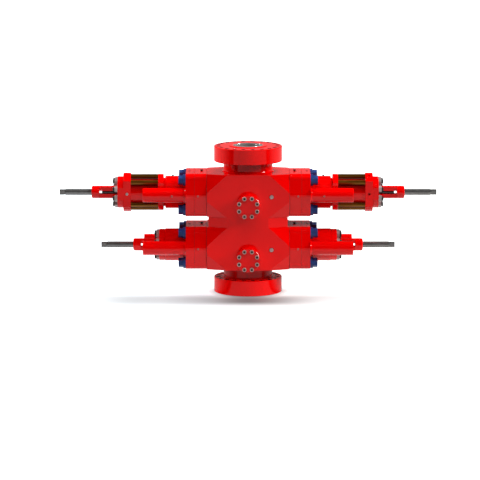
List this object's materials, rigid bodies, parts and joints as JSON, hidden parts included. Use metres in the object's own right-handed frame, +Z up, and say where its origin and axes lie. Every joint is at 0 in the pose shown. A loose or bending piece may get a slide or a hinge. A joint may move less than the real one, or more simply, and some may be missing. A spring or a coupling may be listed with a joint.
{
  "type": "double ram blowout preventer",
  "caption": "Flanged double ram blowout preventer: ram cavities closed by sliding bonnets, with tandem boosters on the upper rams, change cylinders, lock screws and blind side outlets.",
  "frame": {"origin": "centre of the bottom flange's sealing face, in the middle of the bore", "axes": "+X along the rams, +Y through the side outlets to the back, +Z up the bore"},
  "size_m": [4.498, 1.1026, 1.7686],
  "materials": {
    "red_paint": "gloss enamel",
    "blue_coating": "satin fluoropolymer coating",
    "bronze_finish": "brown oiled",
    "machined_steel": "ground",
    "dark_steel": "machined",
    "ram_steel": "machined"
  },
  "bodies": {
    "body": {"main_body": "red_paint", "outlet_covers": "red_paint", "outlet_cover_screws": "machined_steel", "change_rods": "machined_steel"},
    "upper_left_bonnet_unit": {"upper_left_intermediate_flange": "red_paint", "upper_left_bonnet": "red_paint", "upper_left_change_cylinders": "red_paint", "upper_left_bonnet_bolts": "blue_coating", "upper_left_booster_inner_plate": "red_paint", "upper_left_booster_cylinder": "red_paint", "upper_left_booster_tie_rods": "bronze_finish", "upper_left_booster_outer_plate": "red_paint", "upper_left_lock_housing": "red_paint"},
    "upper_left_ram_unit": {"upper_left_ram": "ram_steel", "upper_left_ram_rod": "dark_steel"},
    "upper_left_lock": {"upper_left_lock_screw": "dark_steel"},
    "upper_right_bonnet_unit": {"upper_right_intermediate_flange": "red_paint", "upper_right_bonnet": "red_paint", "upper_right_change_cylinders": "red_paint", "upper_right_bonnet_bolts": "blue_coating", "upper_right_booster_inner_plate": "red_paint", "upper_right_booster_cylinder": "red_paint", "upper_right_booster_tie_rods": "bronze_finish", "upper_right_booster_outer_plate": "red_paint", "upper_right_lock_housing": "red_paint"},
    "upper_right_ram_unit": {"upper_right_ram": "ram_steel", "upper_right_ram_rod": "dark_steel"},
    "upper_right_lock": {"upper_right_lock_screw": "dark_steel"},
    "lower_left_bonnet_unit": {"lower_left_intermediate_flange": "red_paint", "lower_left_bonnet": "red_paint", "lower_left_change_cylinders": "red_paint", "lower_left_bonnet_bolts": "blue_coating", "lower_left_lock_housing": "red_paint"},
    "lower_left_ram_unit": {"lower_left_ram": "ram_steel", "lower_left_ram_rod": "dark_steel"},
    "lower_left_lock": {"lower_left_lock_screw": "dark_steel"},
    "lower_right_bonnet_unit": {"lower_right_intermediate_flange": "red_paint", "lower_right_bonnet": "red_paint", "lower_right_change_cylinders": "red_paint", "lower_right_bonnet_bolts": "blue_coating", "lower_right_lock_housing": "red_paint"},
    "lower_right_ram_unit": {"lower_right_ram": "ram_steel", "lower_right_ram_rod": "dark_steel"},
    "lower_right_lock": {"lower_right_lock_screw": "dark_steel"}
  },
  "joints": [
    {"name": "upper_left_bonnet_slide", "type": "slide", "parent": "body", "child": "upper_left_bonnet_unit", "axis": [-1, 0, 0], "range_m": [0, 0.5]},
    {"name": "upper_left_ram_slide", "type": "slide", "parent": "upper_left_bonnet_unit", "child": "upper_left_ram_unit", "axis": [1, 0, 0], "range_m": [0, 0.139]},
    {"name": "upper_left_lock_slide", "type": "slide", "parent": "upper_left_bonnet_unit", "child": "upper_left_lock", "axis": [1, 0, 0], "range_m": [0, 0.139]},
    {"name": "upper_right_bonnet_slide", "type": "slide", "parent": "body", "child": "upper_right_bonnet_unit", "axis": [1, 0, 0], "range_m": [0, 0.5]},
    {"name": "upper_right_ram_slide", "type": "slide", "parent": "upper_right_bonnet_unit", "child": "upper_right_ram_unit", "axis": [-1, 0, 0], "range_m": [0, 0.139]},
    {"name": "upper_right_lock_slide", "type": "slide", "parent": "upper_right_bonnet_unit", "child": "upper_right_lock", "axis": [-1, 0, 0], "range_m": [0, 0.139]},
    {"name": "lower_left_bonnet_slide", "type": "slide", "parent": "body", "child": "lower_left_bonnet_unit", "axis": [-1, 0, 0], "range_m": [0, 0.5]},
    {"name": "lower_left_ram_slide", "type": "slide", "parent": "lower_left_bonnet_unit", "child": "lower_left_ram_unit", "axis": [1, 0, 0], "range_m": [0, 0.139]},
    {"name": "lower_left_lock_slide", "type": "slide", "parent": "lower_left_bonnet_unit", "child": "lower_left_lock", "axis": [1, 0, 0], "range_m": [0, 0.139]},
    {"name": "lower_right_bonnet_slide", "type": "slide", "parent": "body", "child": "lower_right_bonnet_unit", "axis": [1, 0, 0], "range_m": [0, 0.5]},
    {"name": "lower_right_ram_slide", "type": "slide", "parent": "lower_right_bonnet_unit", "child": "lower_right_ram_unit", "axis": [-1, 0, 0], "range_m": [0, 0.139]},
    {"name": "lower_right_lock_slide", "type": "slide", "parent": "lower_right_bonnet_unit", "child": "lower_right_lock", "axis": [-1, 0, 0], "range_m": [0, 0.139]}
  ],
  "couplings": [
    {"joint": "upper_left_lock_slide", "follows": "upper_left_ram_slide", "ratio": 1},
    {"joint": "upper_right_lock_slide", "follows": "upper_right_ram_slide", "ratio": 1},
    {"joint": "lower_left_lock_slide", "follows": "lower_left_ram_slide", "ratio": 1},
    {"joint": "lower_right_lock_slide", "follows": "lower_right_ram_slide", "ratio": 1}
  ]
}
